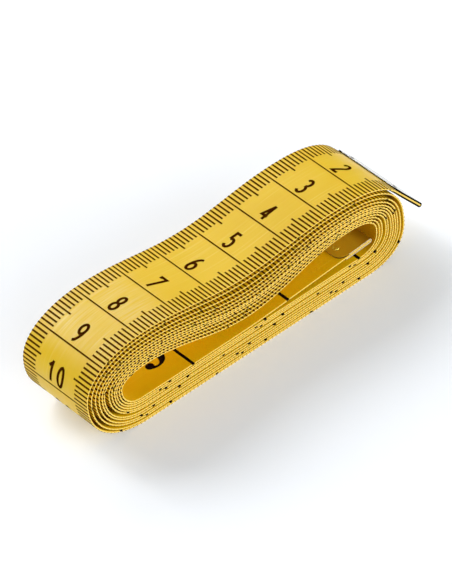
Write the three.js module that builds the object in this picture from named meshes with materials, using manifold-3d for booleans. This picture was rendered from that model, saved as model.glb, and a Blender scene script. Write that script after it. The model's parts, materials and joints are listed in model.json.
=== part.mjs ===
// Cloth tape measure, wound flat into a long oval roll that lies on its outermost layer.
// One ribbon of coated cloth winds from its inner end, inside the roll's eye, to its outer end.
// A folded sheet-metal tip with two rivets closes each end.
// Millimetres: X along the roll, Y across the ribbon, Z up, origin at the centre of the resting face.

import * as THREE from 'three';
import { mergeVertices } from 'three/addons/utils/BufferGeometryUtils.js';
import Module from 'manifold-3d';

// Ribbon
const TAPE_WIDTH = 20;
const TAPE_THICKNESS = 0.17;
const LAYERS = 12;

// Open gaps between neighbouring layers, at six places round the roll
const GAP_BOTTOM = 0.42;
const GAP_LEFT_END = 0.64;
const GAP_LEFT_HUMP = 0.6;
const GAP_WAIST = 0.78;
const GAP_RIGHT_HUMP = 0.52;
const GAP_RIGHT_END = 0.6;

// Eye of the roll: the space inside the innermost layer, with heights above the eye's floor
const EYE_LENGTH = 67.7;
const EYE_LEFT_HEIGHT = 7.6;
const EYE_WAIST_HEIGHT = 2.9;
const EYE_RIGHT_HEIGHT = 7.8;
const LEFT_NOSE_HEIGHT = 4.6;
const RIGHT_NOSE_HEIGHT = 3.8;

// Length along X of the four rounded corners of the innermost layer
const LEFT_LOWER_REACH = 4.8;
const LEFT_UPPER_REACH = 6.8;
const RIGHT_UPPER_REACH = 7.9;
const RIGHT_LOWER_REACH = 5.9;

// What each layer further out adds to those corners and to the height of the two noses
const LEFT_LOWER_GROWTH = 0.9;
const LEFT_UPPER_GROWTH = 0.9;
const RIGHT_UPPER_GROWTH = 1;
const RIGHT_LOWER_GROWTH = 0.55;
const LEFT_NOSE_GROWTH = 0.12;
const RIGHT_NOSE_GROWTH = -0.11;

// Fullness of the rounded corners: 2 is an ellipse, more is squarer
const LEFT_FULLNESS = 2.2;
const RIGHT_FULLNESS = 2.5;

// Free ends: where and how steeply the tape leaves the roll
const OUTER_LEAVE_ANGLE = 34.5;
const OUTER_END_SLOPE = -51.5;
const OUTER_END_BARE = 1.3;
const INNER_END_SLOPE = 3.9;
const INNER_TIP_CLEARANCE = 1.3;
const HINGE_GAP = 0.3;

// End tips, folded from sheet round the end of the tape
const TIP_LENGTH = 8.75;
const TIP_SHEET = 0.25;
const TIP_CLEARANCE = 0.19;
const TIP_CORNER_RADIUS = 2.2;

// Rivets, two through each tip: set back from the tip's open edge and in from the tape's long edges
const RIVET_SHANK_RADIUS = 0.6;
const RIVET_HEAD_RADIUS = 0.95;
const RIVET_HEAD_HEIGHT = 0.3;
const RIVET_CLEARANCE = 0.1;
const RIVET_SETBACK = 2.05;
const RIVET_EDGE_INSET = 3.5;

// Fineness of the facets
const CORNER_STEPS = 8;
const TOP_STEPS = 14;
const FOLD_STEPS = 6;
const RIVET_STEPS = 14;
const DOME_STEPS = 3;
const GAP_SAMPLES = 4;

const tapeMaterial = new THREE.MeshStandardMaterial({ color: 0xe9c64a, roughness: 0.5, metalness: 0 });
const tipMaterial = new THREE.MeshStandardMaterial({ color: 0xb8b4a8, roughness: 0.3, metalness: 1 });
const rivetMaterial = new THREE.MeshStandardMaterial({ color: 0x9a968a, roughness: 0.35, metalness: 1 });

const wasm = await Module();
wasm.setup();

// Shape of one layer of the roll, on the centre line of the ribbon; layer 0 is the innermost
function layerShape(layer) {
  const half = TAPE_THICKNESS / 2;
  const eyeFloor = (LAYERS - 1) * (TAPE_THICKNESS + GAP_BOTTOM) + TAPE_THICKNESS;
  const outwards = (start, gap) => start + half + layer * (TAPE_THICKNESS + gap);
  return {
    floor: eyeFloor - outwards(0, GAP_BOTTOM),
    left: -outwards(EYE_LENGTH / 2, GAP_LEFT_END),
    right: outwards(EYE_LENGTH / 2, GAP_RIGHT_END),
    leftTop: outwards(eyeFloor + EYE_LEFT_HEIGHT, GAP_LEFT_HUMP),
    waist: outwards(eyeFloor + EYE_WAIST_HEIGHT, GAP_WAIST),
    rightTop: outwards(eyeFloor + EYE_RIGHT_HEIGHT, GAP_RIGHT_HUMP),
    leftNose: eyeFloor + LEFT_NOSE_HEIGHT + layer * LEFT_NOSE_GROWTH,
    rightNose: eyeFloor + RIGHT_NOSE_HEIGHT + layer * RIGHT_NOSE_GROWTH,
    leftLower: LEFT_LOWER_REACH + layer * LEFT_LOWER_GROWTH,
    leftUpper: LEFT_UPPER_REACH + layer * LEFT_UPPER_GROWTH,
    rightUpper: RIGHT_UPPER_REACH + layer * RIGHT_UPPER_GROWTH,
    rightLower: RIGHT_LOWER_REACH + layer * RIGHT_LOWER_GROWTH,
  };
}

// A rounded corner between two angles: an ellipse pushed out to a squarer curve by its fullness
function corner(centre, reach, height, fullness, fromDegrees, toDegrees) {
  const points = [];
  for (let step = 0; step <= CORNER_STEPS; step += 1) {
    const angle = THREE.MathUtils.degToRad(fromDegrees + (toDegrees - fromDegrees) * step / CORNER_STEPS);
    const across = Math.cos(angle);
    const up = Math.sin(angle);
    const push = (Math.abs(across) ** fullness + Math.abs(up) ** fullness) ** (-1 / fullness);
    points.push(new THREE.Vector2(centre.x + reach * push * across, centre.y + height * push * up));
  }
  return points;
}

// The top of a layer: a smooth step from the left hump to the right one, less a sag between them
function topRun(shape) {
  const start = shape.left + shape.leftUpper;
  const end = shape.right - shape.rightUpper;
  const sag = (shape.leftTop + shape.rightTop) / 2 - shape.waist;
  const points = [];
  for (let step = 0; step <= TOP_STEPS; step += 1) {
    const share = step / TOP_STEPS;
    const rise = (shape.rightTop - shape.leftTop) * (1 - Math.cos(Math.PI * share)) / 2;
    const drop = sag * Math.sin(Math.PI * share) ** 2;
    points.push(new THREE.Vector2(start + (end - start) * share, shape.leftTop + rise - drop));
  }
  return points;
}

function leftEnd(shape) {
  const low = new THREE.Vector2(shape.left + shape.leftLower, shape.leftNose);
  const high = new THREE.Vector2(shape.left + shape.leftUpper, shape.leftNose);
  return [
    ...corner(low, shape.leftLower, shape.leftNose - shape.floor, LEFT_FULLNESS, -90, -180),
    ...corner(high, shape.leftUpper, shape.leftTop - shape.leftNose, LEFT_FULLNESS, 180, 90).slice(1),
  ];
}

function rightUpperCorner(shape, toDegrees) {
  const centre = new THREE.Vector2(shape.right - shape.rightUpper, shape.rightNose);
  return corner(centre, shape.rightUpper, shape.rightTop - shape.rightNose, RIGHT_FULLNESS, 90, toDegrees);
}

function rightLowerCorner(shape, nextFloor) {
  const centre = new THREE.Vector2(shape.right - shape.rightLower, shape.rightNose);
  return corner(centre, shape.rightLower, shape.rightNose - nextFloor, RIGHT_FULLNESS, 0, -90);
}

// Centre line of the wound ribbon, from where the inner end lifts off to where the outer end leaves.
// A stretch that starts where the one before it ends leaves out its first point.
function windingPath() {
  const points = [new THREE.Vector2(0, layerShape(0).floor)];
  for (let layer = 0; layer < LAYERS; layer += 1) {
    const shape = layerShape(layer);
    const outermost = layer === LAYERS - 1;
    points.push(...leftEnd(shape), ...topRun(shape).slice(1));
    points.push(...rightUpperCorner(shape, outermost ? OUTER_LEAVE_ANGLE : 0).slice(1));
    if (!outermost) {
      points.push(...rightLowerCorner(shape, layerShape(layer + 1).floor).slice(1));
    }
  }
  return points;
}

// Unit normals of a path, on the outer side of the roll
function pathNormals(path) {
  return path.map((point, index) => {
    const before = path[Math.max(index - 1, 0)];
    const after = path[Math.min(index + 1, path.length - 1)];
    const along = after.clone().sub(before).normalize();
    return new THREE.Vector2(-along.y, along.x);
  });
}

// Closed ribbon: a flat four-cornered section carried along the path, with a cap at each end
function ribbonGeometry(path) {
  const normals = pathNormals(path);
  const half = TAPE_THICKNESS / 2;
  const side = TAPE_WIDTH / 2;
  const sectionCorners = [[side, -half], [side, half], [-side, half], [-side, -half]];
  const count = sectionCorners.length;
  const positions = [];
  path.forEach((point, index) => {
    for (const [across, out] of sectionCorners) {
      positions.push(point.x + normals[index].x * out, across, point.y + normals[index].y * out);
    }
  });
  const triangles = [0, 2, 1, 0, 3, 2];
  for (let ring = 0; ring < path.length - 1; ring += 1) {
    for (let edge = 0; edge < count; edge += 1) {
      const here = ring * count + edge;
      const beside = ring * count + (edge + 1) % count;
      triangles.push(here, beside, beside + count, here, beside + count, here + count);
    }
  }
  const last = (path.length - 1) * count;
  triangles.push(last, last + 1, last + 2, last, last + 2, last + 3);
  const geometry = new THREE.BufferGeometry();
  geometry.setAttribute('position', new THREE.Float32BufferAttribute(positions, 3));
  geometry.setIndex(triangles);
  return geometry;
}

function distanceToSegment(point, start, end) {
  const along = end.clone().sub(start);
  const share = THREE.MathUtils.clamp(point.clone().sub(start).dot(along) / along.lengthSq(), 0, 1);
  return point.distanceTo(start.clone().addScaledVector(along, share));
}

// Least open gap between two layers, on points spread along the centre line.
// Stretches closer along the ribbon than the eye is long are the same layer, and are passed over.
function leastGap(path) {
  const distances = [0];
  for (let index = 1; index < path.length; index += 1) {
    distances.push(distances[index - 1] + path[index].distanceTo(path[index - 1]));
  }
  let least = Infinity;
  for (let index = 0; index < path.length - 1; index += 1) {
    for (let sample = 0; sample < GAP_SAMPLES; sample += 1) {
      const point = path[index].clone().lerp(path[index + 1], sample / GAP_SAMPLES);
      for (let other = index + 1; other < path.length - 1; other += 1) {
        if (distances[other] - distances[index + 1] > EYE_LENGTH) {
          least = Math.min(least, distanceToSegment(point, path[other], path[other + 1]) - TAPE_THICKNESS);
        }
      }
    }
  }
  return { least, length: distances[distances.length - 1] };
}

function solidOf(geometry) {
  const bare = geometry.clone();
  bare.deleteAttribute('normal');
  bare.deleteAttribute('uv');
  const merged = mergeVertices(bare);
  const vertProperties = new Float32Array(merged.attributes.position.array);
  const triVerts = new Uint32Array(merged.index.array);
  return new wasm.Manifold(new wasm.Mesh({ numProp: 3, vertProperties, triVerts }));
}

function geometryOf(solid) {
  const mesh = solid.getMesh();
  const geometry = new THREE.BufferGeometry();
  geometry.setAttribute('position', new THREE.BufferAttribute(mesh.vertProperties, 3));
  geometry.setIndex(new THREE.BufferAttribute(mesh.triVerts, 1));
  return geometry;
}

function namedMesh(name, geometry, material) {
  const mesh = new THREE.Mesh(geometry, material);
  mesh.name = name;
  return mesh;
}

// Places of the two rivets of an end, in the end's own frame: X along the tape, Y across it
function rivetPlaces(endLength) {
  const along = endLength - TIP_LENGTH + RIVET_SETBACK;
  const across = TAPE_WIDTH / 2 - RIVET_EDGE_INSET;
  return [
    { side: 'near', x: along, y: -across },
    { side: 'far', x: along, y: across },
  ];
}

// Flat stretch of tape from just past the hinge line into the tip, pierced for the rivets
function endStripGeometry(endLength) {
  const start = HINGE_GAP;
  const end = endLength - TIP_SHEET - TIP_CLEARANCE - TAPE_THICKNESS / 2;
  const side = TAPE_WIDTH / 2;
  const outline = new THREE.Shape();
  outline.moveTo(start, -side);
  outline.lineTo(end, -side);
  outline.lineTo(end, side);
  outline.lineTo(start, side);
  outline.closePath();
  for (const place of rivetPlaces(endLength)) {
    const hole = new THREE.Path();
    hole.absarc(place.x, place.y, RIVET_SHANK_RADIUS + RIVET_CLEARANCE, 0, 2 * Math.PI, true);
    outline.holes.push(hole);
  }
  const options = { depth: TAPE_THICKNESS, bevelEnabled: false, curveSegments: RIVET_STEPS };
  return new THREE.ExtrudeGeometry(outline, options).translate(0, 0, -TAPE_THICKNESS / 2);
}

// Half of the tip's thickness inside the fold and outside it
function tipHalves() {
  const inner = TAPE_THICKNESS / 2 + TIP_CLEARANCE;
  return { inner, outer: inner + TIP_SHEET };
}

// Folded tip: a U of sheet across the tape, with its two open corners rounded and its holes pierced
function tipGeometry(endLength) {
  const { inner, outer } = tipHalves();
  const open = endLength - TIP_LENGTH;
  const fold = endLength - outer;
  const side = TAPE_WIDTH / 2;
  const quarter = Math.PI / 2;

  const section = new THREE.Shape();
  section.moveTo(open, -outer);
  section.lineTo(fold, -outer);
  section.absarc(fold, 0, outer, -quarter, quarter, false);
  section.lineTo(open, outer);
  section.lineTo(open, inner);
  section.lineTo(fold, inner);
  section.absarc(fold, 0, inner, quarter, -quarter, true);
  section.lineTo(open, -inner);
  section.closePath();
  const foldOptions = { depth: TAPE_WIDTH, bevelEnabled: false, curveSegments: FOLD_STEPS };
  const folded = new THREE.ExtrudeGeometry(section, foldOptions).rotateX(quarter).translate(0, side, 0);

  const past = endLength + TIP_SHEET;
  const beside = side + TIP_SHEET;
  const bend = open + TIP_CORNER_RADIUS;
  const bendSide = side - TIP_CORNER_RADIUS;
  const plan = new THREE.Shape();
  plan.moveTo(past, -beside);
  plan.lineTo(past, beside);
  plan.lineTo(bend, beside);
  plan.lineTo(bend, side);
  plan.absarc(bend, bendSide, TIP_CORNER_RADIUS, quarter, 2 * quarter, false);
  plan.absarc(bend, -bendSide, TIP_CORNER_RADIUS, -2 * quarter, -quarter, false);
  plan.lineTo(bend, -beside);
  plan.closePath();
  for (const place of rivetPlaces(endLength)) {
    const hole = new THREE.Path();
    hole.absarc(place.x, place.y, RIVET_SHANK_RADIUS + RIVET_CLEARANCE, 0, 2 * Math.PI, true);
    plan.holes.push(hole);
  }
  const planDepth = 2 * (outer + TIP_SHEET);
  const planOptions = { depth: planDepth, bevelEnabled: false, curveSegments: RIVET_STEPS };
  const cutter = new THREE.ExtrudeGeometry(plan, planOptions).translate(0, 0, -planDepth / 2);
  return geometryOf(solidOf(folded).intersect(solidOf(cutter)));
}

// Rivet: a shank with a domed head on each side of the tip, turned about its axis
function rivetGeometry() {
  const seat = tipHalves().outer + RIVET_CLEARANCE;
  const upper = [];
  for (let step = 0; step <= DOME_STEPS; step += 1) {
    const angle = Math.PI / 2 * step / DOME_STEPS;
    const radius = step === DOME_STEPS ? 0 : RIVET_HEAD_RADIUS * Math.cos(angle);
    upper.push(new THREE.Vector2(radius, seat + RIVET_HEAD_HEIGHT * Math.sin(angle)));
  }
  upper.unshift(new THREE.Vector2(RIVET_SHANK_RADIUS, seat));
  const lower = upper.map((point) => new THREE.Vector2(point.x, -point.y)).reverse();
  return new THREE.LatheGeometry([...lower, ...upper], RIVET_STEPS).rotateX(Math.PI / 2);
}

// One free end of the tape with its tip and rivets, turned about its hinge line
function tapeEnd(name, hinge, slope, endLength) {
  const group = new THREE.Group();
  group.position.set(hinge.x, 0, hinge.y);
  group.rotation.y = -THREE.MathUtils.degToRad(slope);
  group.add(namedMesh(`tape_${name}_end`, endStripGeometry(endLength), tapeMaterial));
  group.add(namedMesh(`${name}_end_tip`, tipGeometry(endLength), tipMaterial));
  for (const place of rivetPlaces(endLength)) {
    const rivet = namedMesh(`${name}_rivet_${place.side}`, rivetGeometry(), rivetMaterial);
    rivet.position.set(place.x, place.y, 0);
    group.add(rivet);
  }
  return group;
}

// Centre of the flat face that the outermost layer rests on
function restingCentre() {
  const outermost = layerShape(LAYERS - 1);
  const rightmost = layerShape(LAYERS - 2);
  const flatStart = outermost.left + outermost.leftLower;
  const flatEnd = rightmost.right - rightmost.rightLower;
  return (flatStart + flatEnd) / 2;
}

function tapeMeasure() {
  const path = windingPath();
  const outerHinge = path[path.length - 1].clone();
  const innerHinge = path[0].clone();
  const outerLength = OUTER_END_BARE + TIP_LENGTH;
  const innerReach = EYE_LENGTH / 2 - INNER_TIP_CLEARANCE;
  const innerLength = innerReach / Math.cos(THREE.MathUtils.degToRad(INNER_END_SLOPE));

  const { least, length } = leastGap(path);
  console.log(`least gap between layers ${least.toFixed(3)} mm`);
  console.log(`tape length ${(length + outerLength + innerLength).toFixed(1)} mm`);

  const roll = new THREE.Group();
  roll.add(namedMesh('tape_coil', ribbonGeometry(path), tapeMaterial));
  roll.add(tapeEnd('outer', outerHinge, OUTER_END_SLOPE, outerLength));
  roll.add(tapeEnd('inner', innerHinge, INNER_END_SLOPE, innerLength));
  roll.position.x = -restingCentre();

  const part = new THREE.Group();
  part.add(roll);
  return part;
}

export default tapeMeasure();
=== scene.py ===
"""Looks of a cloth tape measure, wound flat into a long oval roll.

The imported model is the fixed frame, and every size here is in metres in that frame. The tape is one
section carried along the winding's centre line, its print is thin ink on its two faces, and each free
end carries a folded metal tip with two rivets.
"""

import json
import logging
from dataclasses import dataclass, field
from enum import Enum
from typing import Optional, Union

import bpy
import numpy as np
from mathutils import Matrix, Vector

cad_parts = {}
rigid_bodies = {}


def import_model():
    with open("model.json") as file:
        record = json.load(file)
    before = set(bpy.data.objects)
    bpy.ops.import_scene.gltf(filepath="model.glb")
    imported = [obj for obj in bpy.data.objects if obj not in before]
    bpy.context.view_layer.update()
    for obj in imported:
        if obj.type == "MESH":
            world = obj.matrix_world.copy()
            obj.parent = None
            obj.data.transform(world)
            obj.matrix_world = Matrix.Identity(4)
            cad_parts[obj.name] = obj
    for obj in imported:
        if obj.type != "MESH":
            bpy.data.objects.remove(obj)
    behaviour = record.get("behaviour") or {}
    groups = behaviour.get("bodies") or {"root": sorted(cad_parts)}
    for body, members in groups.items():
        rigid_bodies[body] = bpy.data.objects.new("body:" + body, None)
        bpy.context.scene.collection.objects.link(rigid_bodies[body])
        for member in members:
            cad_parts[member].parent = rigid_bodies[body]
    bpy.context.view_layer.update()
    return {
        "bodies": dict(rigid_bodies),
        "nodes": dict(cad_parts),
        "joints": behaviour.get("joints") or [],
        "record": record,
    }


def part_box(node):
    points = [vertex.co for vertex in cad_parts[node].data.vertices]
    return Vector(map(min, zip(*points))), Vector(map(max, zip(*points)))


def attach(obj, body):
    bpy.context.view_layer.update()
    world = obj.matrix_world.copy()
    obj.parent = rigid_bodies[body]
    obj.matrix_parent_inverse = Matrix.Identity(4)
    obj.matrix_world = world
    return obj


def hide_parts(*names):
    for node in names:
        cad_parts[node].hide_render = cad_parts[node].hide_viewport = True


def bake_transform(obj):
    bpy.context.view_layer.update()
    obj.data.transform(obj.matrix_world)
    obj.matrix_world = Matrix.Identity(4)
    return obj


LOG = logging.getLogger("tape_measure")
MM = 0.001
HAIR = 1e-4 * MM
TINY = 1e-12
ACROSS = np.array([0.0, 1.0, 0.0])
TAPE_UV = "tape_uv"

Number = Union["Field", float]
Pair = tuple[float, float]
Triple = tuple[float, float, float]
Colour = tuple[float, float, float, float]
Plug = Union["Field", bpy.types.NodeSocket, float, Triple, Colour]
Plugs = dict[Union[str, int], Plug]


class Face(Enum):
    """A printed face of the tape: centimetres look out of the roll, inches look into it."""

    CENTIMETRES = 1
    INCHES = -1


class End(Enum):
    """A free end of the tape, by the name of its moving body."""

    OUTER = "outer_end"
    INNER = "inner_end"


class Slot(Enum):
    """Material slots of a strip: its outer face, its cut edges, its inner face, and its ends."""

    FACE = 0
    CUT_EDGE = 1
    BACK = 2
    END = 3


class Field:
    """A number that varies over a surface. Python's operators on it add Math nodes."""

    def __init__(self, shader: "Shader", socket: bpy.types.NodeSocket) -> None:
        """Wraps one output socket of a shader's tree."""
        self.shader = shader
        self.socket = socket

    def math(self, operation: str, *operands: Number) -> "Field":
        """Adds one Math node.

        Args:
            operation: The Math node's operation.
            operands: Numbers or fields, in the order of the node's sockets.

        Returns:
            The node's result.
        """
        node = self.shader.node("ShaderNodeMath", {"operation": operation}, dict(enumerate(operands)))
        return Field(self.shader, node.outputs[0])

    def __add__(self, other: Number) -> "Field":
        """The sum."""
        return self.math("ADD", self, other)

    def __radd__(self, other: Number) -> "Field":
        """The sum, reflected."""
        return self.math("ADD", other, self)

    def __sub__(self, other: Number) -> "Field":
        """The difference."""
        return self.math("SUBTRACT", self, other)

    def __rsub__(self, other: Number) -> "Field":
        """The difference, reflected."""
        return self.math("SUBTRACT", other, self)

    def __mul__(self, other: Number) -> "Field":
        """The product."""
        return self.math("MULTIPLY", self, other)

    def __rmul__(self, other: Number) -> "Field":
        """The product, reflected."""
        return self.math("MULTIPLY", other, self)

    def __truediv__(self, other: Number) -> "Field":
        """The quotient."""
        return self.math("DIVIDE", self, other)

    def __rtruediv__(self, other: Number) -> "Field":
        """The quotient, reflected."""
        return self.math("DIVIDE", other, self)

    def wave(self, pitch: float) -> "Field":
        """A wave from 0 to 1 that repeats every pitch: half of one plus the sine."""
        turns = self * (2.0 * np.pi / pitch)
        return 0.5 + 0.5 * turns.math("SINE", turns)

    def step(self, low: float, high: float) -> "Field":
        """A smooth step from 0 at low to 1 at high."""
        node = self.shader.node("ShaderNodeMapRange", {"interpolation_type": "SMOOTHSTEP"},
                                {"Value": self, "From Min": low, "From Max": high})
        return Field(self.shader, node.outputs["Result"])


# A Mix node's sockets when it mixes colours
MIX_FACTOR, MIX_FIRST, MIX_SECOND = 0, 6, 7
MIX_RESULT = 2


class Shader:
    """The node tree of one material, or of the world."""

    def __init__(self, tree: bpy.types.NodeTree) -> None:
        """Clears a node tree to build on."""
        tree.nodes.clear()
        self.tree = tree

    def node(self, kind: str, settings: Optional[dict[str, object]] = None,
             inputs: Optional[Plugs] = None) -> bpy.types.Node:
        """Adds one node.

        Args:
            kind: The node's type.
            settings: Attributes of the node, set first.
            inputs: Values, sockets or fields for its input sockets, by name or number.

        Returns:
            The new node.
        """
        node = self.tree.nodes.new(kind)
        for key, value in (settings or {}).items():
            setattr(node, key, value)
        for key, value in (inputs or {}).items():
            source = value.socket if isinstance(value, Field) else value
            if isinstance(source, bpy.types.NodeSocket):
                self.tree.links.new(source, node.inputs[key])
            else:
                node.inputs[key].default_value = source
        return node

    def parts(self, vector: bpy.types.NodeSocket) -> tuple[Field, Field, Field]:
        """The three parts of a vector."""
        split = self.node("ShaderNodeSeparateXYZ", inputs={"Vector": vector})
        return tuple(Field(self, socket) for socket in split.outputs)

    def tape_place(self) -> tuple[Field, Field]:
        """Distance along the tape and place across it, in millimetres."""
        uv = self.node("ShaderNodeUVMap", {"uv_map": TAPE_UV})
        along, across, _ = self.parts(uv.outputs["UV"])
        return along / MM, across / MM

    def object_place(self) -> tuple[Field, Field, Field]:
        """Place in the object's own frame, in millimetres."""
        spot = self.node("ShaderNodeTexCoord").outputs["Object"]
        return tuple(part / MM for part in self.parts(spot))

    def noise(self, x: Number, y: Number, z: Number = 0.0, detail: float = 2.0) -> Field:
        """Cloudy noise from about 0 to 1 at a place, one cloud to a unit. A fixed z picks a layer of it."""
        spot = self.node("ShaderNodeCombineXYZ", inputs={"X": x, "Y": y, "Z": z})
        cloud = self.node("ShaderNodeTexNoise", {"noise_dimensions": "3D"},
                          {"Vector": spot.outputs[0], "Scale": 1.0, "Detail": detail})
        return Field(self, cloud.outputs[0])

    def mix(self, factor: Number, first: Plug, second: Plug) -> bpy.types.NodeSocket:
        """A colour between two: the first where the factor is 0, the second where it is 1."""
        node = self.node("ShaderNodeMix", {"data_type": "RGBA"},
                         {MIX_FACTOR: factor, MIX_FIRST: first, MIX_SECOND: second})
        return node.outputs[MIX_RESULT]

    def bump(self, height: Field, depth: float) -> bpy.types.NodeSocket:
        """Normals of a surface raised by a height from 0 to 1, where 1 stands the depth proud."""
        return self.node("ShaderNodeBump", inputs={"Distance": depth, "Height": height}).outputs[0]

    def surface(self, inputs: Plugs) -> None:
        """Ends a material's tree in one Principled surface."""
        shader = self.node("ShaderNodeBsdfPrincipled", inputs=inputs)
        self.node("ShaderNodeOutputMaterial", inputs={"Surface": shader.outputs[0]})


@dataclass(frozen=True)
class Mottle:
    """Cloudy marks on the tape, from 0 to 1.

    Attributes:
        length: Size of a mark along the tape, in millimetres.
        width: Its size across the tape, in millimetres.
        layer: Which layer of the noise is shown.
        detail: How finely the noise is broken up.
        edges: The noise at which a mark starts, and at which it is full.
    """

    length: float
    width: float
    layer: float
    detail: float
    edges: Pair

    def over(self, shader: Shader, along: Field, across: Field) -> Field:
        """The marks at a distance along the tape and a place across it."""
        noise = shader.noise(along / self.length, across / self.width, self.layer, self.detail)
        return noise.step(*self.edges)


@dataclass(frozen=True)
class Finish:
    """A finish, which makes one material and hands it out."""

    name: str

    def dress(self, shader: Shader) -> None:
        """Builds the finish's nodes."""
        raise NotImplementedError

    def material(self) -> bpy.types.Material:
        """The finish's material, made at the first call."""
        material = bpy.data.materials.get(self.name)
        if material is None:
            material = bpy.data.materials.new(self.name)
            material.use_nodes = True
            self.dress(Shader(material.node_tree))
        return material


@dataclass(frozen=True)
class CoatedCloth(Finish):
    """Yellow vinyl over woven cloth: mottled dye, lengthwise threads and a fine weave under the coat.

    The weave's pitches are in millimetres. Over one stretch the colour moves towards a second colour, most
    between the two middle distances of the stretch, by the first share all over and by the second in
    blotches. On the outer face this is wear and a painted sheen; on the inner face it is a painted shade.
    The pale threads are partly a painted highlight.
    """

    name: str = "yellow_coated_cloth"
    yellow: Colour = (0.800, 0.517, 0.006, 1.0)
    deep: Colour = (0.745, 0.465, 0.004, 1.0)
    pale: Colour = (0.860, 0.620, 0.080, 1.0)
    # Colour of one stretch: wear and a painted sheen on the outer face, a painted shade on the inner face
    worn: Colour = (0.850, 0.720, 0.400, 1.0)
    worn_stretch: tuple[float, float, float, float] = (1921.0, 1932.0, 1942.0, 1950.0)
    worn_shares: Pair = (0.05, 0.26)
    clouds: Mottle = Mottle(17.0, 8.0, 3.0, 2.0, (0.35, 0.75))
    patches: Mottle = Mottle(22.0, 9.0, 5.0, 2.0, (0.42, 0.62))
    streaks: Mottle = Mottle(30.0, 1.0 / 2.6, 7.0, 3.0, (0.50, 0.72))
    scuffs: Mottle = Mottle(9.0, 1.0 / 3.4, 2.0, 3.0, (0.40, 0.70))
    warp_pitch: float = 0.42
    weft_pitch: float = 0.50
    weave_height: float = 0.012 * MM
    roughness: float = 0.40
    gloss: float = 0.36
    glow_through: float = 0.35
    glow_radius: Triple = (1.0, 0.55, 0.08)
    glow_depth: float = 0.5 * MM

    def dress(self, shader: Shader) -> None:
        """Dye clouds darken the yellow, threads lighten it in patches, partly as a painted highlight, one
        stretch takes a colour of wear and painted light, and the weave raises the coat.
        """
        along, across = shader.tape_place()
        cloud, patch, streak, stretch_blotch = (
            marks.over(shader, along, across)
            for marks in (self.clouds, self.patches, self.streaks, self.scuffs))
        # Pale lengthwise threads: real threads, lightened further as a painted highlight
        thread_and_highlight = streak * (0.45 + 0.75 * patch)
        weave = across.wave(self.warp_pitch) * along.wave(self.weft_pitch)
        # Mask of that stretch, whose colour is wear with painted sheen outside and painted shade inside
        wear_and_light_mask = along.step(*self.worn_stretch[:2]) * (1.0 - along.step(*self.worn_stretch[2:]))
        thinly, deeply = self.worn_shares
        base = shader.mix(cloud * 0.45, self.yellow, self.deep)
        threaded = shader.mix(thread_and_highlight * 0.5, base, self.pale)
        shader.surface({
            "Base Color": shader.mix(wear_and_light_mask * (thinly + deeply * stretch_blotch), threaded, self.worn),
            "Roughness": self.roughness + 0.10 * cloud - 0.08 * thread_and_highlight,
            "Specular IOR Level": self.gloss,
            "Subsurface Weight": self.glow_through,
            "Subsurface Radius": self.glow_radius,
            "Subsurface Scale": self.glow_depth,
            "Normal": shader.bump(0.5 * weave + 0.9 * thread_and_highlight, self.weave_height),
        })


@dataclass(frozen=True)
class CutCloth(Finish):
    """The tape's cut edge: bare pale weft ends, closely packed."""

    name: str = "cut_cloth_edge"
    pale: Colour = (0.90, 0.69, 0.23, 1.0)
    shade: Colour = (0.78, 0.49, 0.02, 1.0)
    weft_pitch: float = 0.50
    knot_height: float = 0.04 * MM
    wear_length: float = 3.0
    roughness: float = 0.55
    gloss: float = 0.2

    def dress(self, shader: Shader) -> None:
        """The weft ends are a row of pale knots with darker yellow between them."""
        along, across = shader.tape_place()
        knots = along.wave(self.weft_pitch)
        wear_and_light_mask = shader.noise(along / self.wear_length, across, 1.0, 3.0)
        shader.surface({
            "Base Color": shader.mix(knots * (0.45 + 0.8 * wear_and_light_mask), self.shade, self.pale),
            "Roughness": self.roughness + 0.2 * wear_and_light_mask,
            "Specular IOR Level": self.gloss,
            "Normal": shader.bump(knots, self.knot_height),
        })


@dataclass(frozen=True)
class Ink(Finish):
    """Printing ink, a little thin in places, with so many clouds to a millimetre."""

    full: Colour = (0.046, 0.0105, 0.0005, 1.0)
    thin: Colour = (0.100, 0.034, 0.002, 1.0)
    clouds: float = 1.3
    cloud_edges: Pair = (0.48, 0.75)
    roughness: float = 0.5
    gloss: float = 0.0

    def dress(self, shader: Shader) -> None:
        """Fine clouds show where the ink took less well."""
        cloud = shader.noise(*(part * self.clouds for part in shader.object_place()), 4.0)
        shader.surface({
            "Base Color": shader.mix(cloud.step(*self.cloud_edges), self.full, self.thin),
            "Roughness": self.roughness + 0.2 * cloud,
            "Specular IOR Level": self.gloss,
        })


@dataclass(frozen=True)
class PlatedSteel(Finish):
    """Bright plating with fine rolling lines across the sheet and faint dull clouds.

    The lines, along the roll and across it, and the clouds are counts to a millimetre.
    """

    bright: Colour = (0.72, 0.70, 0.64, 1.0)
    dull: Colour = (0.56, 0.53, 0.47, 1.0)
    roughness: float = 0.20
    lines: Pair = (6.0, 0.2)
    clouds: float = 0.4

    def dress(self, shader: Shader) -> None:
        """Rolling lines and dull clouds change the plating's colour and polish."""
        x, y, z = shader.object_place()
        lengthwise, crosswise = self.lines
        lines = shader.noise(x * lengthwise, y * crosswise, z * lengthwise, 1.0)
        cloud = shader.noise(x * self.clouds, y * self.clouds, z * self.clouds)
        shader.surface({
            "Base Color": self.colour(shader, 0.2 * lines + 0.3 * cloud),
            "Roughness": self.roughness + 0.06 * lines + 0.06 * cloud,
            "Metallic": 1.0,
        })

    def colour(self, shader: Shader, dullness: Field) -> bpy.types.NodeSocket:
        """The plating's colour, from bright to dull."""
        return shader.mix(dullness, self.bright, self.dull)


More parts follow.
